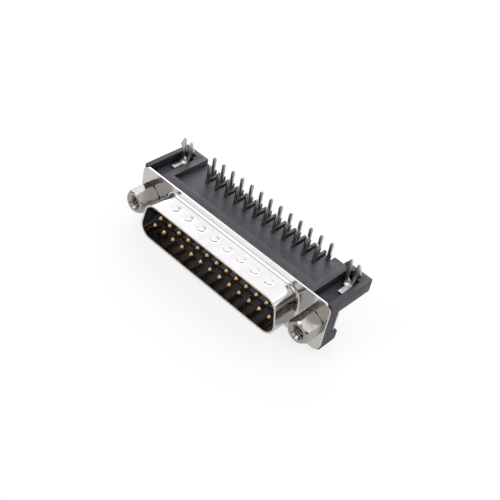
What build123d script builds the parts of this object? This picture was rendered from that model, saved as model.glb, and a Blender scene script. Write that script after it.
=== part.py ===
from build123d import *
from math import radians, sqrt, tan
import os

os.makedirs("parts", exist_ok=True)

# Millimetres. +X runs along the connector, +Y to the rear, +Z towards the circuit board.
# The origin is the centre of the D on the front face of the metal flange.

# Contact layout
PITCH = 2.77                 # contact to contact along a row
ROW_GAP = 2.84               # row to row, at the pins and again at the board
LONG_COUNT = 13              # row on the side away from the board
SHORT_COUNT = 12             # row next to the board

# Drawn metal shell
SHEET = 0.4
D_W, D_H, D_R = 38.96, 8.36, 2.6     # inside of the D, at its wide side
D_DRAFT = 10.0               # lean of the D's ends, in degrees
SCREW_OFFSET = 4.04          # end of the D to the jack screw beside it
SCREW_X = D_W / 2 + SCREW_OFFSET
FLANGE_EAR = 3.0             # jack screw to the end of the connector
FLANGE_W = 2 * (SCREW_X + FLANGE_EAR)
FLANGE_H, FLANGE_R = 12.55, 1.75
SHROUD_L = 6.2               # flange front face to rim
SHROUD_BEND = 0.8            # outside radius where the shroud leaves the flange
DIMPLE_COUNT = 8
DIMPLE_PITCH, DIMPLE_Y = 3.8, -2.9
DIMPLE_R, DIMPLE_DEPTH = 1.15, 0.34
SHELL_HOLE_R = 1.55

# Moulded housing
BODY_LOW, BODY_CORNER = -FLANGE_H / 2, 1.0
BODY_FLANGE_BACK = 3.2
SEAT_Z = 6.3                 # face that lies on the board
PLATE_TOP, PLATE_LOW = 5.1, 3.15
LIP_BACK = 2.65              # rear edge of the full-height front lip
ARM_REACH = 3.52             # jack screw to the inner side of the end arm
REAR_Y = 12.75
CAVITY_HALF = 0.85           # square cavity round each contact's collar
CORE_WALL, CORE_BACK, CORE_LOW = 1.13, 6.6, -4.0
CORE_HALF = (LONG_COUNT - 1) / 2 * PITCH + CAVITY_HALF + CORE_WALL
BOSS_FRONT, BOSS_GAP = -0.5, 0.15
POCKET_HALF, POCKET_BACK, POCKET_FLOOR = 1.9, 10.1, 4.25
POCKET_END_HALF, POCKET_END = 1.2, 11.45
BODY_HOLE_R = 1.6
LEDGE_REACH = 2.92           # jack screw to the inner end of the ledge
LEDGE_TOP, LEDGE_LOW, LEDGE_BACK, LEDGE_ROUND = -2.7, -5.45, 5.0, 0.7
SLOT_HALF = 0.35             # slots for the tails of the row next to the board
NOTCH_HALF = 0.43            # notches for the tails of the other row

# Contacts
PIN_R, PIN_TIP = 0.5, -5.16
PIN_NOSE_R, PIN_NOSE_L = 0.2, 0.4    # flat of the tip, and length of its taper
PIN_HOLE_R = 0.55
SHOULDER_Y = 0.9             # step in the housing that the collar stops against
COLLAR_R, COLLAR_BACK = 0.84, 3.4
TAIL, TAIL_START = 0.6, 3.0  # square wire behind the collar
BEND_R = 0.9                 # inside radius of the right-angle bend
SHORT_TAIL_Y = 8.08
LONG_TAIL_Y = SHORT_TAIL_Y + ROW_GAP
TAIL_END, TAIL_POINT_L, TAIL_POINT_HALF = 9.66, 0.5, 0.15

# Jack screws and their nut plates
HEX_AF, HEX_L = 4.8, 4.75
HEX_TURN_LEFT, HEX_TURN_RIGHT = 18, 32       # degrees, as each screw was tightened
HEX_FACE_R, HEX_BEVEL, HEX_RUN = 2.3, 0.6, 0.5
THREAD_MINOR_R, THREAD_MAJOR_R, THREAD_GAP = 1.19, 1.42, 0.01
HOLE_DEPTH, MOUTH_R, MOUTH_DEPTH = 4.3, 1.65, 0.45
STUD_END = 5.9
NUT_HALF, NUT_TOP, NUT_BACK = 2.85, 3.1, 3.9
NUT_COLLAR_R, NUT_COLLAR_BACK = 2.2, 5.4

# Board locks
LOCK_SHEET = 0.4
LOCK_Y = (SHORT_TAIL_Y + LONG_TAIL_Y) / 2
LOCK_BEND_R = 1.3            # inside radius between foot and fork
LOCK_FOOT_IN, LOCK_FOOT_OUT, LOCK_FOOT_FRONT = 0.12, 0.9, 6.2
LOCK_NECK_HALF, LOCK_NECK_Z = 0.6, 4.75
LOCK_BODY_HALF, LOCK_WAIST_Z = 1.3, 6.2
LOCK_SPLIT_Z, LOCK_SPLIT_HALF = 5.9, 0.42
LOCK_BARB_X, LOCK_BARB_Z, LOCK_BARB_LOW = 2.0, 8.55, 8.0
LOCK_TIP_X, LOCK_TIP_Z, LOCK_TIP_HALF = 0.95, 10.6, 0.12


def block(x0, x1, y0, y1, z0, z1):
    """Box between two corners."""
    return Pos((x0 + x1) / 2, (y0 + y1) / 2, (z0 + z1) / 2) * Box(x1 - x0, y1 - y0, z1 - z0)


def along_y(sketch, y0, y1):
    """Sketch in X and Z, extruded from y0 back to y1."""
    return extrude(Plane.XZ.offset(-y1) * sketch, y1 - y0)


def bar(x, z, radius, y0, y1):
    """Round bar along Y."""
    return along_y(Pos(x, z) * Circle(radius), y0, y1)


def d_outline(grow):
    """The D, grown or shrunk from the inside of the shell."""
    wide, half = D_W / 2, D_H / 2
    narrow = wide - D_H * tan(radians(D_DRAFT))
    corners = (-wide, -half), (wide, -half), (narrow, half), (-narrow, half)
    sketch = make_face(Polyline(*corners, close=True))
    return offset(fillet(sketch.vertices(), D_R), grow) if grow else fillet(sketch.vertices(), D_R)


def contact_places():
    """Pin centre and tail depth of each contact, the long row first."""
    rows = (LONG_COUNT, -ROW_GAP / 2, LONG_TAIL_Y), (SHORT_COUNT, ROW_GAP / 2, SHORT_TAIL_Y)
    return [((i - (count - 1) / 2) * PITCH, z, tail_y) for count, z, tail_y in rows for i in range(count)]


def make_shell():
    """Drawn front shell: flange and D-shaped shroud of one sheet, with a row of pressed dimples."""
    flange = along_y(RectangleRounded(FLANGE_W, FLANGE_H, FLANGE_R), 0, SHEET)
    shell = flange + along_y(d_outline(SHEET), -SHROUD_L, SHEET)
    flange_front = shell.faces().filter_by(Axis.Y).sort_by(Axis.Y)[1]
    shell = fillet(flange_front.inner_wires().edges(), SHROUD_BEND)
    shell -= along_y(d_outline(0), -SHROUD_L, SHEET)
    flange_back = shell.faces().sort_by(Axis.Y)[-1]
    shell = fillet(flange_back.inner_wires().edges(), SHROUD_BEND + SHEET)
    for side in (-1, 1):
        shell -= bar(side * SCREW_X, 0, SHELL_HOLE_R, 0, SHEET)
    radius = (DIMPLE_R ** 2 + DIMPLE_DEPTH ** 2) / (2 * DIMPLE_DEPTH)
    for i in range(DIMPLE_COUNT):
        x = (i - (DIMPLE_COUNT - 1) / 2) * DIMPLE_PITCH
        top = D_H / 2 + SHEET
        centre = Pos(x, DIMPLE_Y, top - DIMPLE_DEPTH + radius)
        reach = 2 * DIMPLE_R
        under = centre * Sphere(radius + SHEET) & block(
            x - reach, x + reach, DIMPLE_Y - reach, DIMPLE_Y + reach, 0, top - SHEET / 2)
        shell = shell + under - centre * Sphere(radius)
    return shell


def make_housing():
    """One moulding: flange, contact block, tail plate and the two end arms."""
    outline = Pos(0, (SEAT_Z + BODY_LOW) / 2) * Rectangle(FLANGE_W, SEAT_Z - BODY_LOW)
    low = outline.vertices().sort_by(Axis.Y)[:2]
    body = along_y(fillet(low, BODY_CORNER), SHEET, BODY_FLANGE_BACK)
    body += block(-FLANGE_W / 2, FLANGE_W / 2, LIP_BACK, REAR_Y, PLATE_LOW, SEAT_Z)
    body += block(-CORE_HALF, CORE_HALF, LIP_BACK, CORE_BACK, CORE_LOW, PLATE_TOP)
    body += along_y(d_outline(-BOSS_GAP), BOSS_FRONT, LIP_BACK)
    arm_in = SCREW_X - ARM_REACH
    body -= block(-arm_in, arm_in, LIP_BACK, REAR_Y, PLATE_TOP, SEAT_Z)
    for side in (-1, 1):
        x = side * SCREW_X
        body += make_ledge(side)
        body -= block(x - POCKET_HALF, x + POCKET_HALF, SHEET, POCKET_BACK, POCKET_FLOOR, SEAT_Z)
        body -= block(x - POCKET_END_HALF, x + POCKET_END_HALF, POCKET_BACK, POCKET_END,
                      POCKET_FLOOR, SEAT_Z)
        body -= bar(x, 0, BODY_HOLE_R, SHEET, BODY_FLANGE_BACK)
    for x, z, tail_y in contact_places():
        body -= bar(x, z, PIN_HOLE_R, BOSS_FRONT, SHOULDER_Y)
        body -= block(x - CAVITY_HALF, x + CAVITY_HALF, SHOULDER_Y, CORE_BACK,
                      z - CAVITY_HALF, z + CAVITY_HALF)
        half = SLOT_HALF if z > 0 else NOTCH_HALF
        body -= block(x - half, x + half, tail_y - TAIL / 2, REAR_Y, PLATE_LOW, PLATE_TOP)
    return body


def make_ledge(side):
    """Rounded shelf below a nut plate, on the back of the flange."""
    y0, y1 = BODY_FLANGE_BACK, LEDGE_BACK
    face = Pos((y0 + y1) / 2, (LEDGE_TOP + LEDGE_LOW) / 2) * Rectangle(y1 - y0, LEDGE_TOP - LEDGE_LOW)
    face = fillet(face.vertices().sort_by(Axis.X)[-2:], LEDGE_ROUND)
    ledge_in = SCREW_X - LEDGE_REACH
    start = ledge_in if side > 0 else -FLANGE_W / 2
    return extrude(Plane.YZ.offset(start) * face, FLANGE_W / 2 - ledge_in)


def make_contact(x, z, tail_y):
    """Turned pin with a stop collar, and a square wire tail bent up to the board."""
    pin = revolve(make_face(Polyline(
        (0, PIN_TIP), (PIN_NOSE_R, PIN_TIP), (PIN_R, PIN_TIP + PIN_NOSE_L), (PIN_R, SHOULDER_Y),
        (COLLAR_R, SHOULDER_Y), (COLLAR_R, COLLAR_BACK), (0, COLLAR_BACK), close=True)), Axis.Y)
    half, top = TAIL / 2, TAIL_END - z
    end = top - TAIL_POINT_L
    point = [(half, end), (TAIL_POINT_HALF, top), (-TAIL_POINT_HALF, top), (-half, end)]
    wire = make_face(Polyline(
        (TAIL_START, -half), (tail_y + half, -half), *[(tail_y + a, b) for a, b in point],
        (tail_y - half, half), (TAIL_START, half), close=True))
    wire = fillet(wire.vertices().sort_by_distance((tail_y + half, -half, 0))[0], BEND_R + TAIL)
    wire = fillet(wire.vertices().sort_by_distance((tail_y - half, half, 0))[0], BEND_R)
    tail = extrude(Plane.YZ * wire, half, both=True)
    tail &= along_y(make_face(Polyline((-half, -half), (half, -half), *point, close=True)),
                    TAIL_START, tail_y + half)
    return Pos(x, 0, z) * (pin + tail)


def make_jackscrew(x, turn):
    """Hexagonal female screw, bevelled at both ends, with the stud that holds the flange."""
    reach = HEX_AF / sqrt(3) + HEX_RUN
    rise = HEX_BEVEL * (reach - HEX_FACE_R) / HEX_RUN
    hexagon = RegularPolygon(HEX_AF / 2, 6, major_radius=False, rotation=turn)
    body = along_y(Pos(x, 0) * hexagon, -HEX_L, 0)
    bevel = make_face(Polyline(
        (0, -HEX_L), (HEX_FACE_R, -HEX_L), (reach, rise - HEX_L), (reach, -rise),
        (HEX_FACE_R, 0), (0, 0), close=True))
    body &= Pos(x, 0, 0) * revolve(bevel, Axis.Y)
    body += bar(x, 0, THREAD_MAJOR_R, 0, STUD_END)
    body -= bar(x, 0, THREAD_MINOR_R, -HEX_L, -HEX_L + HOLE_DEPTH)
    mouth = make_face(Polyline(
        (0, -HEX_L), (MOUTH_R, -HEX_L), (THREAD_MINOR_R, -HEX_L + MOUTH_DEPTH),
        (0, -HEX_L + MOUTH_DEPTH), close=True))
    return body - Pos(x, 0, 0) * revolve(mouth, Axis.Y)


def make_nut_plate(x):
    """Square plate behind the flange with a drawn, threaded collar."""
    plate = block(x - NUT_HALF, x + NUT_HALF, BODY_FLANGE_BACK, NUT_BACK, LEDGE_TOP, NUT_TOP)
    plate += bar(x, 0, NUT_COLLAR_R, NUT_BACK, NUT_COLLAR_BACK)
    return plate - bar(x, 0, THREAD_MAJOR_R + THREAD_GAP, BODY_FLANGE_BACK, NUT_COLLAR_BACK)


def make_board_lock(x):
    """Stamped fork: a foot bent along the pocket floor, and two barbed prongs for the board."""
    y0, y1 = LOCK_Y - LOCK_SHEET / 2, LOCK_Y + LOCK_SHEET / 2
    low, foot_top = POCKET_FLOOR, POCKET_FLOOR + LOCK_SHEET
    bent = make_face(Polyline(
        (LOCK_FOOT_FRONT, low), (y1, low), (y1, LOCK_TIP_Z), (y0, LOCK_TIP_Z), (y0, foot_top),
        (LOCK_FOOT_FRONT, foot_top), close=True))
    bent = fillet(bent.vertices().sort_by_distance((y1, low, 0))[0], LOCK_BEND_R + LOCK_SHEET)
    bent = fillet(bent.vertices().sort_by_distance((y0, foot_top, 0))[0], LOCK_BEND_R)
    half = [
        (LOCK_BODY_HALF, LOCK_WAIST_Z), (LOCK_BODY_HALF, LOCK_BARB_LOW), (LOCK_BARB_X, LOCK_BARB_Z),
        (LOCK_TIP_X + LOCK_TIP_HALF, LOCK_TIP_Z), (LOCK_TIP_X - LOCK_TIP_HALF, LOCK_TIP_Z),
        (LOCK_SPLIT_HALF, LOCK_BARB_Z), (LOCK_SPLIT_HALF, LOCK_SPLIT_Z)]
    out = 1 if x > 0 else -1
    foot = [(-out * LOCK_NECK_HALF, LOCK_NECK_Z), (-out * LOCK_FOOT_IN, LOCK_NECK_Z),
            (-out * LOCK_FOOT_IN, low), (out * LOCK_FOOT_OUT, low)]
    other_half = [(-a, b) for a, b in reversed(half)]
    outline = half + [(0, LOCK_SPLIT_Z - LOCK_SPLIT_HALF)] + other_half + foot[::out]
    stamped = along_y(make_face(Polyline(*outline, close=True)), LOCK_FOOT_FRONT, y1)
    lock = extrude(Plane.YZ * bent, LOCK_BARB_X, both=True) & stamped
    return Pos(x, 0, 0) * lock


def write(shape, node):
    """One node to one file."""
    export_step(shape, f"parts/{node}.step")


write(make_shell(), "front_shell")
write(make_housing(), "housing")
for number, (x, z, tail_y) in enumerate(contact_places(), 1):
    write(make_contact(x, z, tail_y), f"contact_{number:02d}")
for side, x, turn in (("left", -SCREW_X, HEX_TURN_LEFT), ("right", SCREW_X, HEX_TURN_RIGHT)):
    write(make_jackscrew(x, turn), f"jackscrew_{side}")
    write(make_nut_plate(x), f"nut_plate_{side}")
    write(make_board_lock(x), f"board_lock_{side}")
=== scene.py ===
from math import cos, pi, radians, sin, sqrt

import bmesh
import bpy
from mathutils import Matrix, Vector


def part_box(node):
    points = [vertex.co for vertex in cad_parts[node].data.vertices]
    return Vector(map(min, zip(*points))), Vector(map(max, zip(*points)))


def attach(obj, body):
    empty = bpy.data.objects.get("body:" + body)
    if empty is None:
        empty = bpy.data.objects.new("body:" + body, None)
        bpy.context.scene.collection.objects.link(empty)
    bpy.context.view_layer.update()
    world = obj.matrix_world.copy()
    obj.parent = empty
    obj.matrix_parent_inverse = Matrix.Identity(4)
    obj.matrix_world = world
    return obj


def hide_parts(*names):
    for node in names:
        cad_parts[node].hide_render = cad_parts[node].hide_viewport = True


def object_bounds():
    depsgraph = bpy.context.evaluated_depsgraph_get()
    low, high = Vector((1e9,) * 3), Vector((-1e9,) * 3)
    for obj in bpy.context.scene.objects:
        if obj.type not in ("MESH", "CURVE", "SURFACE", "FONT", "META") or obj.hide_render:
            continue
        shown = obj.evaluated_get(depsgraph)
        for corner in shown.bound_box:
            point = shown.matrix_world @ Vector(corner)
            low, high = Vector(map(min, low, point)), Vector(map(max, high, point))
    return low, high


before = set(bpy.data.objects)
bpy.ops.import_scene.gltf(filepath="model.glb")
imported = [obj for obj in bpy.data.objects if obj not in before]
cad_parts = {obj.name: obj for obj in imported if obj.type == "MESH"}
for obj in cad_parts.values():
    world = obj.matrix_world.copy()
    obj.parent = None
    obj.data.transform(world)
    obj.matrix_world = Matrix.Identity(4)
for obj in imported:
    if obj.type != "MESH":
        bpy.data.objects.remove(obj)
CAD_BOX = [list(corner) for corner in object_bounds()]

bl_info = {
    "name": "Right-Angle D Connector",
    "version": (1, 0, 0),
    "blender": (4, 5, 0),
    "location": "3D View > Sidebar > Connector",
    "description": "Finishes, small forms and studio for a right-angle D connector",
    "category": "Object",
}

MM = 0.001
SIDES = ("left", "right")
CONTACT_COUNT = 25

# Fineness of the meshes
WELD = 0.0005 * MM               # points closer than this are one point
FLAT_TURN = radians(0.5)         # faces that turn less than this are one flat face
EDGE_TURN = radians(30)          # edges that turn more than this are rounded
EDGE_SEGMENTS = 2
SHEET_EDGE_TURN = radians(60)
SHEET_EDGE_SEGMENTS = 3
SHARP_TURN = radians(24)         # edges of a jack screw that turn more than this look sharp
ARC_STEPS = 12                   # in each corner of the D and of the flange
STRAIGHT_STEPS = (10, 28, 10, 228)   # along the right side, bottom, left side and top of the D
FRONT_ROWS, DIMPLE_ROWS, BACK_ROWS = 6, 22, 3   # along the shroud
BEND_STEPS = 8
SCREW_HOLE_STEPS = 48
HEXAGON_CORNER_STEPS = 6
BEVEL_STEPS = 96                 # round the bevels of the hexagon
THREAD_STEPS = 48                # round the thread
THREAD_ROWS = 12                 # along each pitch of the thread

# Drawn shell
D_HALF_WIDTH = 19.48 * MM        # inside of the D at its wide side
D_HALF_HEIGHT = 4.18 * MM
D_CORNER = 2.6 * MM
D_DRAFT = radians(10)            # lean of the D's ends
DIMPLE_COUNT = 8
DIMPLE_PITCH = 3.8 * MM
DIMPLE_Y = -2.9 * MM
DIMPLE_BAND = 1.5 * MM           # half length of the part of the shroud that the dimples lie in
DIMPLE_LIP = 0.05 * MM           # softness of a dimple's lip
DIMPLE_SHARE = 1.6               # share of its radius within which a dimple is worked out
SCREW_X = 23.52 * MM
SCREW_HOLE = 1.55 * MM

# Jack screws
HEXAGON_TURN = {"left": 18, "right": 32}   # degrees
HEXAGON_FACE = 2.3 * MM          # radius of the flat end of the hexagon
BEVEL_SLOPE = 1.2                # rise of the end bevel along the screw for its run outwards
REAR_BEVEL = 0.45                # share of that rise at the flange
THREAD_FLANK, THREAD_FLAT = 1.35, 0.12   # steepness of the flanks, and width of the flat between them
MOUTH, MOUTH_DEPTH = 1.65 * MM, 0.45 * MM   # radius and depth of the countersink
THREAD_START = 0.02 * MM         # behind the countersink
THREAD_END, DRILL_DEPTH = 4.1 * MM, 4.3 * MM   # from the front end of the screw
DRILL_POINT, DRILL_POINT_RADIUS = 0.35 * MM, 0.1 * MM
STUD_ROOT = -0.3 * MM            # start of the stud, inside the hexagon
STUD_PLAIN = 0.3 * MM            # length without thread at each end of the stud
STUD_ROOT_SHARE, STUD_TIP_SHARE = 0.97, 0.85   # of the thread's major and minor radius

# Finishes
EDGE_TURNS = (0.995, 0.9)        # cosines of the turn to the rounded normal, at no wear and full wear
EDGE_RAYS = 6
BREAK_NOISE, BROKEN_WEAR = (0.35, 0.6), 0.25   # noise that breaks up wear, and what is left there
TONE_NOISE, SMUDGE_NOISE = (0.3, 0.7), (0.42, 0.68)   # noise that is taken as 0 and as 1
GOLD_END_Y, TIN_START_Y = 1.0 * MM, 2.5 * MM
CONTACT_TONE = (0.86, 1.0)
POCKET_REACH, POCKET_RAYS = 3.0 * MM, 8   # walls nearer than this paint shade into a pocket and dull it
POCKET_OPENING = (0.4, 0.85)     # share of open sky in a full pocket, and where the pocket ends
POCKET_DULLING = 0.25            # roughness that a pocket adds
# painted shade: the colour that a full pocket is darkened to
POCKET_PAINTED_SHADE = (0.008, 0.007, 0.009)
BOSS_FACE_Y, BOSS_SIDE_Y = -0.48 * MM, -0.4 * MM   # where light is painted onto the face of the boss inside the shroud, as a paler colour
# painted light: paler colour of the boss's face inside the shroud
BOSS_PAINTED_LIGHT = (0.1, 0.09, 0.1)

# Studio, with the photograph's camera in the connector's frame
FLOOR_SIDE = 12.0
TENT_FOOT, TENT_ROOF = 0.25, 0.95   # sines of the heights between which the cloth grows brighter
CAMERA_PLACE = Vector((0.08758, -0.11389, 0.12772))
CAMERA_AZIMUTH = radians(35.85)
CAMERA_ELEVATION = radians(41.09)
CAMERA_ROLL = radians(12.23)
CAMERA_LENS = 67.78              # for a 36 mm sensor over the square picture

# Lamps behind the tent's cloth: the name of the brightness, the direction,
# and the half angles in degrees of the full glow and of its soft end
GLOWS = (
    ("rear", (-0.16, 0.64, 0.69), 28, 48),
    ("rear_right", (0.62, 0.60, 0.48), 10, 30),
    ("front_left", (-0.44, -0.61, 0.66), 6, 21),
    ("front_right", (0.46, -0.62, 0.63), 10, 30),
    ("left", (-0.68, 0.70, 0.24), 12, 28),
    ("low_strips", (-0.54, 0.83, 0.13), 12, 26),
    ("low_strips", (-0.46, -0.87, 0.18), 12, 26),
    ("overhead", (-0.46, -0.36, 0.81), 6, 20),
    ("low_strips", (0.80, 0.59, 0.12), 8, 22),
)


class ConnectorSizes(bpy.types.PropertyGroup):
    """Sizes of the small forms"""
    moulding_edge: bpy.props.FloatProperty(
        name="Moulding edge", description="Rounding of the housing's edges",
        default=0.07 * MM, min=0, subtype="DISTANCE", unit="LENGTH", precision=5)
    sheet_edge: bpy.props.FloatProperty(
        name="Sheet edge", description="Rounding of the drawn shell's edges",
        default=0.05 * MM, min=0, subtype="DISTANCE", unit="LENGTH", precision=5)
    wire_edge: bpy.props.FloatProperty(
        name="Wire edge", description="Rounding of the contacts' edges",
        default=0.05 * MM, min=0, subtype="DISTANCE", unit="LENGTH", precision=5)
    stamped_edge: bpy.props.FloatProperty(
        name="Stamped edge", description="Rounding of the board locks' and nut plates' edges",
        default=0.06 * MM, min=0, subtype="DISTANCE", unit="LENGTH", precision=5)
    sheet: bpy.props.FloatProperty(
        name="Sheet thickness", description="Thickness of the drawn shell",
        default=0.4 * MM, min=0.05 * MM, subtype="DISTANCE", unit="LENGTH", precision=5)
    root_bend: bpy.props.FloatProperty(
        name="Root bend", description="Outside radius where the shroud leaves the flange",
        default=0.8 * MM, min=0.1 * MM, subtype="DISTANCE", unit="LENGTH", precision=5)
    flange_corner: bpy.props.FloatProperty(
        name="Flange corner", description="Radius of the flange's corners",
        default=1.75 * MM, min=0.1 * MM, subtype="DISTANCE", unit="LENGTH", precision=5)
    dimple_radius: bpy.props.FloatProperty(
        name="Dimple radius", description="Radius of each pressed dimple at its lip",
        default=1.15 * MM, min=0.1 * MM, subtype="DISTANCE", unit="LENGTH", precision=5)
    dimple_depth: bpy.props.FloatProperty(
        name="Dimple depth", description="Depth of each pressed dimple",
        default=0.24 * MM, min=0, subtype="DISTANCE", unit="LENGTH", precision=5)
    hexagon_flats: bpy.props.FloatProperty(
        name="Across flats", description="Width of the jack screws' hexagon",
        default=4.8 * MM, min=1 * MM, subtype="DISTANCE", unit="LENGTH", precision=5)
    hexagon_corner: bpy.props.FloatProperty(
        name="Hexagon corner", description="Rounding of the drawn hexagon's six edges",
        default=0.27 * MM, min=0.01 * MM, subtype="DISTANCE", unit="LENGTH", precision=5)
    thread_pitch: bpy.props.FloatProperty(
        name="Thread pitch", description="Pitch of the jack screws' inside thread, 40 turns to the inch",
        default=0.635 * MM, min=0.1 * MM, subtype="DISTANCE", unit="LENGTH", precision=5)
    thread_minor: bpy.props.FloatProperty(
        name="Thread minor radius", description="Radius at the crests of the inside thread",
        default=1.19 * MM, min=0.1 * MM, subtype="DISTANCE", unit="LENGTH", precision=5)
    thread_major: bpy.props.FloatProperty(
        name="Thread major radius", description="Radius at the roots of the inside thread",
        default=1.42 * MM, min=0.1 * MM, subtype="DISTANCE", unit="LENGTH", precision=5)


class ConnectorColours(bpy.types.PropertyGroup):
    """Base colours of the finishes"""
    nickel_sheet: bpy.props.FloatVectorProperty(
        name="Shell plating", description="Bright nickel over the drawn steel shell",
        subtype="COLOR", size=3, min=0, max=1, default=(0.54, 0.526, 0.51))
    black_moulding: bpy.props.FloatVectorProperty(
        name="Moulding", description="Black glass-filled polyester of the housing",
        subtype="COLOR", size=3, min=0, max=1, default=(0.04, 0.037, 0.046))
    pin_gold: bpy.props.FloatVectorProperty(
        name="Pin gold", description="Gold over the mating end of each contact",
        subtype="COLOR", size=3, min=0, max=1, default=(0.50, 0.36, 0.215))
    tail_tin: bpy.props.FloatVectorProperty(
        name="Tail tin", description="Tin over the soldered end of each contact",
        subtype="COLOR", size=3, min=0, max=1, default=(0.36, 0.34, 0.32))
    jackscrew_nickel: bpy.props.FloatVectorProperty(
        name="Jack screw nickel", description="Satin nickel over the turned jack screws",
        subtype="COLOR", size=3, min=0, max=1, default=(0.34, 0.313, 0.285))
    zinc_plate: bpy.props.FloatVectorProperty(
        name="Nut plate zinc", description="Zinc over the nut plates",
        subtype="COLOR", size=3, min=0, max=1, default=(0.62, 0.63, 0.65))
    lock_tin: bpy.props.FloatVectorProperty(
        name="Board lock tin", description="Tin over the spring bronze board locks",
        subtype="COLOR", size=3, min=0, max=1, default=(0.50, 0.49, 0.47))


class StudioLight(bpy.types.PropertyGroup):
    """Light of the studio"""
    floor: bpy.props.FloatVectorProperty(
        name="Floor", description="Colour of the plain floor",
        subtype="COLOR", size=3, min=0, max=1, default=(0.9, 0.9, 0.9))
    floor_lift: bpy.props.FloatProperty(
        name="Floor lift", description="Share of plain white in the floor as cameras and mirrors see it",
        default=0.78, min=0, max=1, subtype="FACTOR")
    cloth: bpy.props.FloatVectorProperty(
        name="Tent cloth", description="Colour of the light through the tent's cloth",
        subtype="COLOR", size=3, min=0, max=1.1, default=(0.975, 0.985, 1.02))
    horizon: bpy.props.FloatProperty(
        name="Tent at the horizon", description="Brightness of the light tent's foot, where 1 is white",
        default=0.15, min=0)
    zenith: bpy.props.FloatProperty(
        name="Tent overhead", description="Brightness of the light tent's roof, where 1 is white",
        default=0.45, min=0)
    rear: bpy.props.FloatProperty(
        name="Rear glow", description="Brightness that the large rear lamp adds to the cloth",
        default=1.42, min=0)
    rear_right: bpy.props.FloatProperty(
        name="Rear right glow", description="Brightness that the rear right lamp adds to the cloth",
        default=0.9, min=0)
    front_left: bpy.props.FloatProperty(
        name="Front left glow", description="Brightness that the front left lamp adds to the cloth",
        default=2.9, min=0)
    front_right: bpy.props.FloatProperty(
        name="Front right glow", description="Brightness that the front right lamp adds to the cloth",
        default=1.4, min=0)
    low_strips: bpy.props.FloatProperty(
        name="Low strips", description="Brightness that the low strip lamps add to the cloth",
        default=1.5, min=0)
    overhead: bpy.props.FloatProperty(
        name="Overhead glow", description="Brightness that the overhead lamp adds to the cloth",
        default=0.7, min=0)
    left: bpy.props.FloatProperty(
        name="Left glow", description="Brightness that the low left lamp adds to the cloth",
        default=1.9, min=0)


def new_group(name, inputs, outputs):
    """Shader node group with those named sockets, and its two end nodes."""
    group = bpy.data.node_groups.new(name, "ShaderNodeTree")
    for label, kind, default in inputs:
        socket = group.interface.new_socket(label, in_out="INPUT", socket_type=kind)
        socket.default_value = default
    for label, kind in outputs:
        group.interface.new_socket(label, in_out="OUTPUT", socket_type=kind)
    start = group.nodes.new("NodeGroupInput")
    end = group.nodes.new("NodeGroupOutput")
    return group, start.outputs, end.inputs


def noise(group, scale, detail, roughness=0.5):
    """Noise over the object's own coordinates, at the scale that a socket gives."""
    place = group.nodes.new("ShaderNodeTexCoord")
    texture = group.nodes.new("ShaderNodeTexNoise")
    texture.inputs["Detail"].default_value = detail
    texture.inputs["Roughness"].default_value = roughness
    group.links.new(place.outputs["Object"], texture.inputs["Vector"])
    group.links.new(scale, texture.inputs["Scale"])
    return texture.outputs["Fac"]


def object_y(tree):
    """How far back along the connector a point of the surface lies."""
    place = tree.nodes.new("ShaderNodeTexCoord")
    parts = tree.nodes.new("ShaderNodeSeparateXYZ")
    tree.links.new(place.outputs["Object"], parts.inputs[0])
    return parts.outputs["Y"]


def remap(group, value, given, wanted, ease="LINEAR"):
    """Value moved from one range to another, and held inside it."""
    node = group.nodes.new("ShaderNodeMapRange")
    node.interpolation_type = ease
    group.links.new(value, node.inputs["Value"])
    for label, number in zip(("From Min", "From Max", "To Min", "To Max"), (*given, *wanted)):
        node.inputs[label].default_value = number
    return node.outputs["Result"]


def math_node(group, operation, first, second):
    """One step of arithmetic on two values or sockets."""
    node = group.nodes.new("ShaderNodeMath")
    node.operation = operation
    for socket, value in zip(node.inputs, (first, second)):
        if isinstance(value, bpy.types.NodeSocket):
            group.links.new(value, socket)
        else:
            socket.default_value = value
    return node.outputs[0]


def mix_colour(group, mask, first, second):
    """Two colours mixed by a mask."""
    node = group.nodes.new("ShaderNodeMix")
    node.data_type = "RGBA"
    group.links.new(mask, node.inputs["Factor"])
    colour_sockets = [socket for socket in node.inputs if socket.type == "RGBA"]
    for socket, value in zip(colour_sockets, (first, second)):
        if isinstance(value, bpy.types.NodeSocket):
            group.links.new(value, socket)
        else:
            socket.default_value = (*value, 1)
    return next(socket for socket in node.outputs if socket.type == "RGBA")


def edge_wear_group():
    """Mask that is 1 along edges, broken up by noise."""
    group, given, made = new_group(
        "edge_wear",
        (("Width", "NodeSocketFloat", 0.1 * MM), ("Breakup scale", "NodeSocketFloat", 900.0)),
        (("Mask", "NodeSocketFloat"),))
    rounded = group.nodes.new("ShaderNodeBevel")
    rounded.samples = EDGE_RAYS
    group.links.new(given["Width"], rounded.inputs["Radius"])
    flat = group.nodes.new("ShaderNodeNewGeometry")
    dot = group.nodes.new("ShaderNodeVectorMath")
    dot.operation = "DOT_PRODUCT"
    group.links.new(rounded.outputs["Normal"], dot.inputs[0])
    group.links.new(flat.outputs["Normal"], dot.inputs[1])
    edge = remap(group, dot.outputs["Value"], EDGE_TURNS, (0.0, 1.0))
    breaks = noise(group, given["Breakup scale"], detail=3.0)
    patchy = remap(group, breaks, BREAK_NOISE, (BROKEN_WEAR, 1.0))
    group.links.new(math_node(group, "MULTIPLY", edge, patchy), made["Mask"])
    return group


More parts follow.
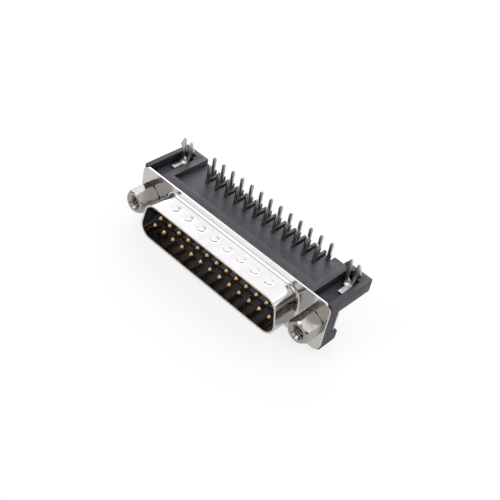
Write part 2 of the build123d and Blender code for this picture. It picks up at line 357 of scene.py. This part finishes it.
def surface_grain_group():
    """Fine height, a slow tone and a smudge mask for roughness."""
    group, given, made = new_group(
        "surface_grain",
        (("Grain scale", "NodeSocketFloat", 6000.0), ("Tone scale", "NodeSocketFloat", 180.0),
         ("Smudge scale", "NodeSocketFloat", 420.0)),
        (("Height", "NodeSocketFloat"), ("Tone", "NodeSocketFloat"), ("Smudge", "NodeSocketFloat")))
    height = noise(group, given["Grain scale"], detail=2.0, roughness=0.6)
    tone = remap(group, noise(group, given["Tone scale"], detail=4.0), TONE_NOISE, (0.0, 1.0))
    smudge = remap(group, noise(group, given["Smudge scale"], detail=5.0, roughness=0.65),
                   SMUDGE_NOISE, (0.0, 1.0))
    for label, socket in (("Height", height), ("Tone", tone), ("Smudge", smudge)):
        group.links.new(socket, made[label])
    return group


def shared_groups():
    """The effects that several finishes use, built once."""
    makers = {"edge_wear": edge_wear_group, "surface_grain": surface_grain_group}
    return {name: bpy.data.node_groups.get(name) or maker() for name, maker in makers.items()}


class Finish:
    """A material being built, with its shader and the shared groups placed in it."""

    def __init__(self, name, groups, scales=(6000.0, 180.0, 420.0), wear=(0.1 * MM, 900.0)):
        """Scales are of grain, tone and smudges, and wear is its width and the scale of its breaks."""
        self.material = bpy.data.materials.new(name)
        self.material.use_nodes = True
        self.tree = self.material.node_tree
        self.shader = self.tree.nodes["Principled BSDF"]
        self.grain = self.place(
            groups["surface_grain"], ("Grain scale", "Tone scale", "Smudge scale"), scales)
        self.wear = self.place(groups["edge_wear"], ("Width", "Breakup scale"), wear)

    def place(self, group, labels, values):
        """A shared group in this material, with its own values."""
        node = self.tree.nodes.new("ShaderNodeGroup")
        node.node_tree = group
        for label, value in zip(labels, values):
            node.inputs[label].default_value = value
        return node.outputs

    def set(self, **values):
        """Plain values of the shader."""
        for label, value in values.items():
            self.shader.inputs[label.replace("_", " ")].default_value = value

    def feed(self, label, socket):
        """One input of the shader fed by a socket."""
        self.tree.links.new(socket, self.shader.inputs[label])

    def worn_colour(self, base, tone, worn, share):
        """Base colour that varies slowly and goes to another along the edges, for wear, and on the jack
        screws partly as a painted highlight.
        """
        shade = [channel * tone for channel in base]
        toned = mix_colour(self.tree, self.grain["Tone"], shade, base)
        mask = remap(self.tree, self.wear["Mask"], (0.0, 1.0), (0.0, share))
        return mix_colour(self.tree, mask, toned, worn)

    def smudged(self, clean, dull):
        """Roughness that goes up where the surface is smudged."""
        return remap(self.tree, self.grain["Smudge"], (0.0, 1.0), (clean, dull))

    def relief(self, depth):
        """The fine grain as a bump."""
        bump = self.tree.nodes.new("ShaderNodeBump")
        bump.inputs["Strength"].default_value = 1.0
        bump.inputs["Distance"].default_value = depth
        self.tree.links.new(self.grain["Height"], bump.inputs["Height"])
        self.feed("Normal", bump.outputs["Normal"])

    def metal(self, base, tone, worn, share, roughness, depth):
        """Plated metal with paler edges for wear (on the jack screws also a painted highlight), smudges
        and a fine grain.
        """
        self.set(Metallic=1.0)
        self.feed("Base Color", self.worn_colour(base, tone, worn, share))
        self.feed("Roughness", self.smudged(*roughness))
        self.relief(depth)
        return self.material


def shell_finish(groups, colours):
    """Bright nickel on drawn sheet: smooth, with slow clouding and brighter rubbed edges."""
    finish = Finish("bright_nickel_sheet", groups, scales=(5200.0, 120.0, 260.0))
    return finish.metal(colours.nickel_sheet, tone=0.93, worn=(0.78, 0.77, 0.75), share=0.6,
                        roughness=(0.1, 0.19), depth=0.0012 * MM)


def jackscrew_finish(groups, colours):
    """Satin nickel on turned steel, with paler edges that are partly wear and partly a painted highlight.
    """
    finish = Finish("satin_nickel_turned", groups, scales=(5000.0, 260.0, 520.0),
                    wear=(0.09 * MM, 900.0))
    # painted highlight: the pale edge colour here is partly wear and partly stands in for the bright
    # lines along the hexagon's edges
    return finish.metal(colours.jackscrew_nickel, tone=0.88, worn=(0.72, 0.69, 0.65), share=0.5,
                        roughness=(0.18, 0.33), depth=0.003 * MM)


def thread_finish(groups):
    """Darker, duller nickel inside a tapped hole."""
    finish = Finish("dull_nickel_thread", groups, scales=(6000.0, 400.0, 800.0),
                    wear=(0.05 * MM, 1500.0))
    return finish.metal((0.16, 0.135, 0.115), tone=0.8, worn=(0.45, 0.42, 0.39), share=0.5,
                        roughness=(0.3, 0.45), depth=0.002 * MM)


def zinc_finish(groups, colours):
    """Zinc on pressed steel, a little cloudy."""
    finish = Finish("zinc_pressed_steel", groups, scales=(4200.0, 300.0, 600.0))
    return finish.metal(colours.zinc_plate, tone=0.85, worn=(0.75, 0.75, 0.76), share=0.5,
                        roughness=(0.28, 0.46), depth=0.003 * MM)


def lock_finish(groups, colours):
    """Tin on stamped spring bronze."""
    finish = Finish("tin_on_spring_bronze", groups, scales=(5200.0, 400.0, 700.0),
                    wear=(0.06 * MM, 1200.0))
    return finish.metal(colours.lock_tin, tone=0.9, worn=(0.7, 0.69, 0.67), share=0.8,
                        roughness=(0.32, 0.45), depth=0.002 * MM)


def moulding_finish(groups, colours):
    """Black glass-filled polyester: semi-gloss, with paler edges, painted shade and more roughness in its
    pockets, and painted light on the face of the boss inside the shroud.
    """
    finish = Finish("black_polyester", groups, scales=(3200.0, 150.0, 500.0),
                    wear=(0.12 * MM, 700.0))
    finish.set(Metallic=0.0, IOR=1.5, Specular_IOR_Level=0.4)
    tree = finish.tree
    # painted shade: ambient occlusion darkens the colour in pockets, and also makes them rougher
    nearby = tree.nodes.new("ShaderNodeAmbientOcclusion")
    nearby.inputs["Distance"].default_value = POCKET_REACH
    nearby.samples = POCKET_RAYS
    pocket = remap(tree, nearby.outputs["AO"], POCKET_OPENING, (1.0, 0.0))
    worn = finish.worn_colour(
        colours.black_moulding, tone=0.8, worn=(0.12, 0.117, 0.125), share=0.35)
    shaded = mix_colour(tree, pocket, worn, POCKET_PAINTED_SHADE)
    # painted light: the face of the boss inside the shroud is made paler than the rest of the moulding
    boss_painted_light = remap(tree, object_y(tree), (BOSS_FACE_Y, BOSS_SIDE_Y), (1.0, 0.0))
    finish.feed("Base Color", mix_colour(tree, boss_painted_light, shaded, BOSS_PAINTED_LIGHT))
    dulled = math_node(tree, "MULTIPLY", pocket, POCKET_DULLING)
    finish.feed("Roughness", math_node(tree, "ADD", finish.smudged(0.5, 0.64), dulled))
    finish.relief(0.004 * MM)
    return finish.material


def contact_finish(groups, colours):
    """Gold on the pin end and tin on the tail, changing inside the housing."""
    finish = Finish("gold_and_tin_wire", groups, scales=(7000.0, 500.0, 900.0),
                    wear=(0.05 * MM, 1500.0))
    finish.set(Metallic=1.0)
    behind = remap(finish.tree, object_y(finish.tree), (GOLD_END_Y, TIN_START_Y), (0.0, 1.0))
    plated = mix_colour(finish.tree, behind, colours.pin_gold, colours.tail_tin)
    toned = finish.tree.nodes.new("ShaderNodeHueSaturation")
    finish.tree.links.new(plated, toned.inputs["Color"])
    brightness = remap(finish.tree, finish.grain["Tone"], (0.0, 1.0), CONTACT_TONE)
    finish.tree.links.new(brightness, toned.inputs["Value"])
    finish.feed("Base Color", toned.outputs["Color"])
    finish.feed("Roughness", finish.smudged(0.2, 0.34))
    finish.relief(0.0015 * MM)
    return finish.material


def stands_for(piece, node):
    """The piece takes the place of a node and rides as it does."""
    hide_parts(node)
    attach(piece, "root")


def new_piece(name, shape, materials):
    """Smooth piece from a mesh that is being built."""
    mesh = bpy.data.meshes.new(name)
    for face in shape.faces:
        face.smooth = True
    shape.to_mesh(mesh)
    shape.free()
    for material in materials:
        mesh.materials.append(material)
    piece = bpy.data.objects.new(name, mesh)
    bpy.context.scene.collection.objects.link(piece)
    return piece


def round_edges(piece, width, segments, turn):
    """Rounded edges where faces turn by more than an angle."""
    bevel = piece.modifiers.new("rounded edges", "BEVEL")
    bevel.width = width
    bevel.segments = segments
    bevel.limit_method = "ANGLE"
    bevel.angle_limit = turn
    bevel.harden_normals = True
    bevel.use_clamp_overlap = True


def dressed(node, edge, material):
    """A piece in the exact form of a node, with its flat faces whole and its edges rounded."""
    shape = bmesh.new()
    shape.from_mesh(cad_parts[node].data)
    bmesh.ops.remove_doubles(shape, verts=shape.verts, dist=WELD)
    bmesh.ops.dissolve_limit(shape, angle_limit=FLAT_TURN, verts=shape.verts, edges=shape.edges)
    for face in shape.faces:
        face.material_index = 0
    piece = new_piece(node + "_finished", shape, (material,))
    round_edges(piece, edge, EDGE_SEGMENTS, EDGE_TURN)
    stands_for(piece, node)


def spread(start, end, count):
    """Evenly spaced values from the start up to the end, without it."""
    return [start + (end - start) * step / count for step in range(count)]


def join_rings(shape, rings, closed=True):
    """Quads between rings of points that have the same count, with both ends capped if closed."""
    loops = [[shape.verts.new(point) for point in ring] for ring in rings]
    count = len(loops[0])
    for below, above in zip(loops, loops[1:]):
        for step in range(count):
            after = (step + 1) % count
            shape.faces.new((below[step], below[after], above[after], above[step]))
    if closed:
        shape.faces.new(loops[0])
        shape.faces.new(loops[-1])
        bmesh.ops.recalc_face_normals(shape, faces=shape.faces)
    return loops


def solid_from_rings(name, rings):
    """Closed solid through the rings, as an object for a boolean."""
    shape = bmesh.new()
    join_rings(shape, rings)
    return new_piece(name, shape, ())


def combine(piece, tool, operation):
    """One boolean, applied, and its tool removed."""
    modifier = piece.modifiers.new("cut", "BOOLEAN")
    modifier.operation = operation
    modifier.solver = "EXACT"
    modifier.object = tool
    bpy.context.view_layer.update()
    graph = bpy.context.evaluated_depsgraph_get()
    mesh = bpy.data.meshes.new_from_object(piece.evaluated_get(graph))
    piece.modifiers.clear()
    piece.data = mesh
    bpy.data.objects.remove(tool)


def d_ring(grow, y):
    """Points round the D in the plane of that Y, grown from the inside of the shell."""
    lean = sin(D_DRAFT)
    top_x = D_HALF_WIDTH - (D_CORNER + (2 * D_HALF_HEIGHT - D_CORNER) * lean) / cos(D_DRAFT)
    low_x = D_HALF_WIDTH - D_CORNER * (1 + lean) / cos(D_DRAFT)
    z = D_HALF_HEIGHT - D_CORNER
    corners = ((top_x, z, pi / 2, D_DRAFT), (low_x, -z, D_DRAFT, -pi / 2),
               (-low_x, -z, -pi / 2, -pi - D_DRAFT), (-top_x, z, -pi - D_DRAFT, -1.5 * pi))
    radius = D_CORNER + grow
    arcs = [[(cx + radius * cos(turn), cz + radius * sin(turn))
             for turn in spread(start, end, ARC_STEPS) + [end]] for cx, cz, start, end in corners]
    ring = []
    for arc, following, steps in zip(arcs, arcs[1:] + arcs[:1], STRAIGHT_STEPS):
        ring += arc
        (x0, z0), (x1, z1) = arc[-1], following[0]
        ring += list(zip(spread(x0, x1, steps), spread(z0, z1, steps)))[1:]
    return [(x, y, z) for x, z in ring]


def pressed(x, y, sizes):
    """How far the dimples press the top of the shroud down at a point."""
    ball = (sizes.dimple_radius ** 2 + sizes.dimple_depth ** 2) / (2 * sizes.dimple_depth)
    depth = 0.0
    for index in range(DIMPLE_COUNT):
        centre = (index - (DIMPLE_COUNT - 1) / 2) * DIMPLE_PITCH
        away = (x - centre) ** 2 + (y - DIMPLE_Y) ** 2
        if away < (DIMPLE_SHARE * sizes.dimple_radius) ** 2:
            below = sqrt(ball ** 2 - away) - (ball - sizes.dimple_depth)
            depth = max(depth, (below + sqrt(below ** 2 + DIMPLE_LIP ** 2)) / 2)
    return depth


def flange_outline(low, high, corner):
    """Rounded rectangle in X and Z."""
    ring = []
    for cx, cz, start in ((high.x - corner, high.z - corner, 0), (low.x + corner, high.z - corner, 90),
                          (low.x + corner, low.z + corner, 180), (high.x - corner, low.z + corner, 270)):
        for step in range(ARC_STEPS + 1):
            turn = radians(start + 90 * step / ARC_STEPS)
            ring.append((cx + corner * cos(turn), 0.0, cz + corner * sin(turn)))
    return ring


def shroud_rings(front, sizes):
    """Rings of the shroud with its dimples, and of the bend to the flange."""
    first, last = DIMPLE_Y - DIMPLE_BAND, DIMPLE_Y + DIMPLE_BAND
    bend = sizes.root_bend
    rows = (spread(front, first, FRONT_ROWS) + spread(first, last, DIMPLE_ROWS)
            + spread(last, -bend, BACK_ROWS))
    top = D_HALF_HEIGHT + sizes.sheet - WELD
    rings = []
    for row in rows:
        rings.append([(x, y, z - pressed(x, y, sizes) if z > top else z)
                      for x, y, z in d_ring(sizes.sheet, row)])
    for turn in spread(0, pi / 2, BEND_STEPS) + [pi / 2]:
        rings.append(d_ring(sizes.sheet + bend * (1 - cos(turn)), bend * (sin(turn) - 1)))
    return rings


def shell_skin(sizes):
    """Outside skin of the drawn shell: shroud with its dimples, root bend, and flange with two holes."""
    low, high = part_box("front_shell")
    shape = bmesh.new()
    loops = join_rings(shape, shroud_rings(low.y, sizes), closed=False)
    outlines = [flange_outline(low, high, sizes.flange_corner)]
    for x in (-SCREW_X, SCREW_X):
        outlines.append([(x + SCREW_HOLE * cos(turn), 0.0, SCREW_HOLE * sin(turn))
                         for turn in spread(0, 2 * pi, SCREW_HOLE_STEPS)])
    rims = [loops[-1]] + [[shape.verts.new(point) for point in outline] for outline in outlines]
    edges = []
    for rim in rims:
        for start, end in zip(rim, rim[1:] + rim[:1]):
            edges.append(shape.edges.get((start, end)) or shape.edges.new((start, end)))
    filled = bmesh.ops.triangle_fill(shape, edges=edges, use_beauty=True, normal=(0, -1, 0))
    bmesh.ops.recalc_face_normals(shape, faces=shape.faces)
    flange = next(part for part in filled["geom"] if isinstance(part, bmesh.types.BMFace))
    if flange.normal.y > 0:
        bmesh.ops.reverse_faces(shape, faces=shape.faces)
    return shape


def hexagon_ring(x, y, turn, sizes):
    """Points round the hexagon with its rounded corners, in the plane of that Y."""
    corner = sizes.hexagon_corner
    arm = (sizes.hexagon_flats / 2 - corner) / cos(pi / 6)
    ring = []
    for index in range(6):
        middle = radians(turn + 60 * index)
        first, last = middle - pi / 6, middle + pi / 6
        for way in spread(first, last, HEXAGON_CORNER_STEPS) + [last]:
            ring.append((x + arm * cos(middle) + corner * cos(way), y,
                         arm * sin(middle) + corner * sin(way)))
    return ring


def turned_rings(x, rows, around):
    """Rings about a jack screw's axis, from each Y and the radius there, which may vary with the turn."""
    rings = []
    for y, radius in rows:
        turns = spread(0, 2 * pi, around)
        reach = [radius(turn) if callable(radius) else radius for turn in turns]
        rings.append([(x + r * cos(turn), y, r * sin(turn)) for r, turn in zip(reach, turns)])
    return rings


def thread_rows(start, end, sizes):
    """Rows of a helical thread, for turned rings."""
    minor, major, pitch = sizes.thread_minor, sizes.thread_major, sizes.thread_pitch

    def ridge(y, turn):
        phase = (y / pitch + turn / (2 * pi)) % 1.0
        height = THREAD_FLANK * (1 - abs(2 * phase - 1)) - THREAD_FLAT
        return minor + (major - minor) * min(1.0, max(0.0, height))

    steps = int((end - start) / pitch * THREAD_ROWS)
    return [(y, lambda turn, y=y: ridge(y, turn)) for y in spread(start, end, steps) + [end]]


def make_jackscrew(side, sizes, materials):
    """Hexagonal female screw, bevelled at both ends, with its inside thread and its stud."""
    low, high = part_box(f"jackscrew_{side}")
    x = -SCREW_X if side == "left" else SCREW_X
    minor, major = sizes.thread_minor, sizes.thread_major
    ends = [hexagon_ring(x, y, HEXAGON_TURN[side], sizes) for y in (low.y, 0.0)]
    piece = solid_from_rings(f"jackscrew_{side}_finished", ends)

    reach = sizes.hexagon_flats / 2 / cos(pi / 6) + sizes.hexagon_corner
    rise = (reach - HEXAGON_FACE) * BEVEL_SLOPE
    bevels = [(low.y, HEXAGON_FACE), (low.y + rise, reach),
              (-REAR_BEVEL * rise, reach), (0.0, HEXAGON_FACE)]
    combine(piece, solid_from_rings("bevels", turned_rings(x, bevels, BEVEL_STEPS)), "INTERSECT")

    stud = [(STUD_ROOT, major * STUD_ROOT_SHARE)]
    stud += thread_rows(STUD_PLAIN, high.y - STUD_PLAIN, sizes)
    stud += [(high.y, minor * STUD_TIP_SHARE)]
    combine(piece, solid_from_rings("stud", turned_rings(x, stud, THREAD_STEPS)), "UNION")

    mouth = low.y + MOUTH_DEPTH
    bore = [(low.y - MOUTH_DEPTH, 2 * MOUTH - minor), (mouth, minor)]
    bore += thread_rows(mouth + THREAD_START, low.y + THREAD_END, sizes)
    bore += [(low.y + DRILL_DEPTH, minor), (low.y + DRILL_DEPTH + DRILL_POINT, DRILL_POINT_RADIUS)]
    combine(piece, solid_from_rings("bore", turned_rings(x, bore, THREAD_STEPS)), "DIFFERENCE")

    mesh = piece.data
    for material in materials:
        mesh.materials.append(material)
    for face in mesh.polygons:
        away = Vector((face.center.x - x, face.center.z)).length
        deep = mouth - WELD < face.center.y < STUD_ROOT - WELD
        face.material_index = int(away < major + WELD and deep)
    mesh.set_sharp_from_angle(angle=SHARP_TURN)
    stands_for(piece, f"jackscrew_{side}")


class CONNECTOR_OT_shell(bpy.types.Operator):
    """Form the drawn metal shell: shroud, dimples, root bend and flange"""
    bl_idname = "connector.shell"
    bl_label = "Front Shell"

    def execute(self, context):
        sizes = context.scene.connector_sizes
        material = shell_finish(shared_groups(), context.scene.connector_colours)
        piece = new_piece("front_shell_finished", shell_skin(sizes), (material,))
        wall = piece.modifiers.new("sheet", "SOLIDIFY")
        wall.thickness = sizes.sheet
        wall.offset = -1.0
        wall.use_even_offset = True
        round_edges(piece, sizes.sheet_edge, SHEET_EDGE_SEGMENTS, SHEET_EDGE_TURN)
        stands_for(piece, "front_shell")
        return {"FINISHED"}


class CONNECTOR_OT_housing(bpy.types.Operator):
    """Finish the black moulded housing"""
    bl_idname = "connector.housing"
    bl_label = "Housing"

    def execute(self, context):
        material = moulding_finish(shared_groups(), context.scene.connector_colours)
        dressed("housing", context.scene.connector_sizes.moulding_edge, material)
        return {"FINISHED"}


class CONNECTOR_OT_contacts(bpy.types.Operator):
    """Finish the contacts, gold in front and tin behind"""
    bl_idname = "connector.contacts"
    bl_label = "Contacts"

    def execute(self, context):
        edge = context.scene.connector_sizes.wire_edge
        material = contact_finish(shared_groups(), context.scene.connector_colours)
        for number in range(1, CONTACT_COUNT + 1):
            dressed(f"contact_{number:02d}", edge, material)
        return {"FINISHED"}


class CONNECTOR_OT_jackscrews(bpy.types.Operator):
    """Form the jack screws with their studs and inside threads"""
    bl_idname = "connector.jackscrews"
    bl_label = "Jack Screws"

    def execute(self, context):
        groups = shared_groups()
        materials = jackscrew_finish(groups, context.scene.connector_colours), thread_finish(groups)
        for side in SIDES:
            make_jackscrew(side, context.scene.connector_sizes, materials)
        return {"FINISHED"}


class CONNECTOR_OT_nut_plates(bpy.types.Operator):
    """Finish the nut plates"""
    bl_idname = "connector.nut_plates"
    bl_label = "Nut Plates"

    def execute(self, context):
        edge = context.scene.connector_sizes.stamped_edge
        material = zinc_finish(shared_groups(), context.scene.connector_colours)
        for side in SIDES:
            dressed(f"nut_plate_{side}", edge, material)
        return {"FINISHED"}


class CONNECTOR_OT_board_locks(bpy.types.Operator):
    """Finish the board locks"""
    bl_idname = "connector.board_locks"
    bl_label = "Board Locks"

    def execute(self, context):
        edge = context.scene.connector_sizes.stamped_edge
        material = lock_finish(shared_groups(), context.scene.connector_colours)
        for side in SIDES:
            dressed(f"board_lock_{side}", edge, material)
        return {"FINISHED"}


def floor_material(light):
    """Matt, pale floor that keeps the shadow, and that cameras and mirrors see lifted towards white."""
    material = bpy.data.materials.new("studio_floor")
    material.use_nodes = True
    tree = material.node_tree
    shader = tree.nodes["Principled BSDF"]
    shader.inputs["Base Color"].default_value = (*light.floor, 1)
    shader.inputs["Roughness"].default_value = 1.0
    shader.inputs["Specular IOR Level"].default_value = 0.0
    path = tree.nodes.new("ShaderNodeLightPath").outputs
    seen = math_node(tree, "MAXIMUM", path["Is Camera Ray"], path["Is Glossy Ray"])
    seen = math_node(tree, "MAXIMUM", seen, path["Is Transmission Ray"])
    glow = tree.nodes.new("ShaderNodeEmission")
    mix = tree.nodes.new("ShaderNodeMixShader")
    tree.links.new(math_node(tree, "MULTIPLY", seen, light.floor_lift), mix.inputs["Fac"])
    tree.links.new(shader.outputs["BSDF"], mix.inputs[1])
    tree.links.new(glow.outputs["Emission"], mix.inputs[2])
    tree.links.new(mix.outputs["Shader"], tree.nodes["Material Output"].inputs["Surface"])
    return material


def make_floor(light):
    """Wide floor that the connector stands on."""
    low = CAD_BOX[0][2]
    half = FLOOR_SIDE / 2
    mesh = bpy.data.meshes.new("floor")
    corners = [(-half, -half, low), (half, -half, low), (half, half, low), (-half, half, low)]
    mesh.from_pydata(corners, [], [(0, 1, 2, 3)])
    mesh.materials.append(floor_material(light))
    floor = bpy.data.objects.new("floor", mesh)
    bpy.context.scene.collection.objects.link(floor)


def make_world(light):
    """Light tent: brighter overhead than at its foot, with a soft glow where each lamp stands."""
    world = bpy.data.worlds.new("light_tent")
    bpy.context.scene.world = world
    world.use_nodes = True
    tree = world.node_tree
    way = tree.nodes.new("ShaderNodeTexCoord").outputs["Generated"]
    parts = tree.nodes.new("ShaderNodeSeparateXYZ")
    tree.links.new(way, parts.inputs[0])
    level = remap(tree, parts.outputs["Z"], (TENT_FOOT, TENT_ROOF), (light.horizon, light.zenith),
                  "SMOOTHSTEP")
    for name, direction, full, gone in GLOWS:
        facing = tree.nodes.new("ShaderNodeVectorMath")
        facing.operation = "DOT_PRODUCT"
        facing.inputs[1].default_value = Vector(direction).normalized()
        tree.links.new(way, facing.inputs[0])
        glow = remap(tree, facing.outputs["Value"], (cos(radians(gone)), cos(radians(full))),
                     (0.0, getattr(light, name)), "SMOOTHSTEP")
        level = math_node(tree, "ADD", level, glow)
    background = tree.nodes["Background"]
    background.inputs["Color"].default_value = (*light.cloth, 1)
    tree.links.new(level, background.inputs["Strength"])


def make_camera():
    """Camera at the photograph's place, turn and lens."""
    forward = Vector((-sin(CAMERA_AZIMUTH) * cos(CAMERA_ELEVATION),
                      cos(CAMERA_AZIMUTH) * cos(CAMERA_ELEVATION), -sin(CAMERA_ELEVATION)))
    level = Vector((cos(CAMERA_AZIMUTH), sin(CAMERA_AZIMUTH), 0))
    upright = level.cross(forward)
    right = level * cos(CAMERA_ROLL) + upright * sin(CAMERA_ROLL)
    up = upright * cos(CAMERA_ROLL) - level * sin(CAMERA_ROLL)
    data = bpy.data.cameras.new("camera")
    data.lens = CAMERA_LENS
    data.clip_start = 1 * MM
    camera = bpy.data.objects.new("camera", data)
    turn = Matrix((right, up, -forward)).transposed().to_4x4()
    camera.matrix_world = Matrix.Translation(CAMERA_PLACE) @ turn
    bpy.context.scene.collection.objects.link(camera)
    bpy.context.scene.camera = camera


class CONNECTOR_OT_studio(bpy.types.Operator):
    """Set the floor, the light and the camera"""
    bl_idname = "connector.studio"
    bl_label = "Studio"

    def execute(self, context):
        light = context.scene.connector_light
        context.scene.view_settings.view_transform = "Standard"
        make_camera()
        make_world(light)
        make_floor(light)
        return {"FINISHED"}


SETTINGS = {
    "connector_sizes": ConnectorSizes,
    "connector_colours": ConnectorColours,
    "connector_light": StudioLight,
}
OPERATORS = (
    CONNECTOR_OT_studio, CONNECTOR_OT_shell, CONNECTOR_OT_housing, CONNECTOR_OT_contacts,
    CONNECTOR_OT_jackscrews, CONNECTOR_OT_nut_plates, CONNECTOR_OT_board_locks)


class CONNECTOR_PT_parts(bpy.types.Panel):
    """Sizes, colours and steps of the connector"""
    bl_label = "D Connector"
    bl_space_type = "VIEW_3D"
    bl_region_type = "UI"
    bl_category = "Connector"

    def draw(self, context):
        for setting in SETTINGS:
            group = getattr(context.scene, setting)
            box = self.layout.box()
            for label in group.__annotations__:
                box.prop(group, label)
        for operator in OPERATORS:
            self.layout.operator(operator.bl_idname)


def register():
    """Add the settings, the steps and the panel."""
    for kind in (*SETTINGS.values(), *OPERATORS, CONNECTOR_PT_parts):
        bpy.utils.register_class(kind)
    for name, kind in SETTINGS.items():
        setattr(bpy.types.Scene, name, bpy.props.PointerProperty(type=kind))


def unregister():
    """Remove the panel, the steps and the settings."""
    for name in SETTINGS:
        delattr(bpy.types.Scene, name)
    for kind in reversed((*SETTINGS.values(), *OPERATORS, CONNECTOR_PT_parts)):
        bpy.utils.unregister_class(kind)


def main():
    """Build everything in order."""
    register()
    bpy.ops.connector.studio()
    bpy.ops.connector.shell()
    bpy.ops.connector.housing()
    bpy.ops.connector.contacts()
    bpy.ops.connector.jackscrews()
    bpy.ops.connector.nut_plates()
    bpy.ops.connector.board_locks()


if __name__ == "__main__":
    main()
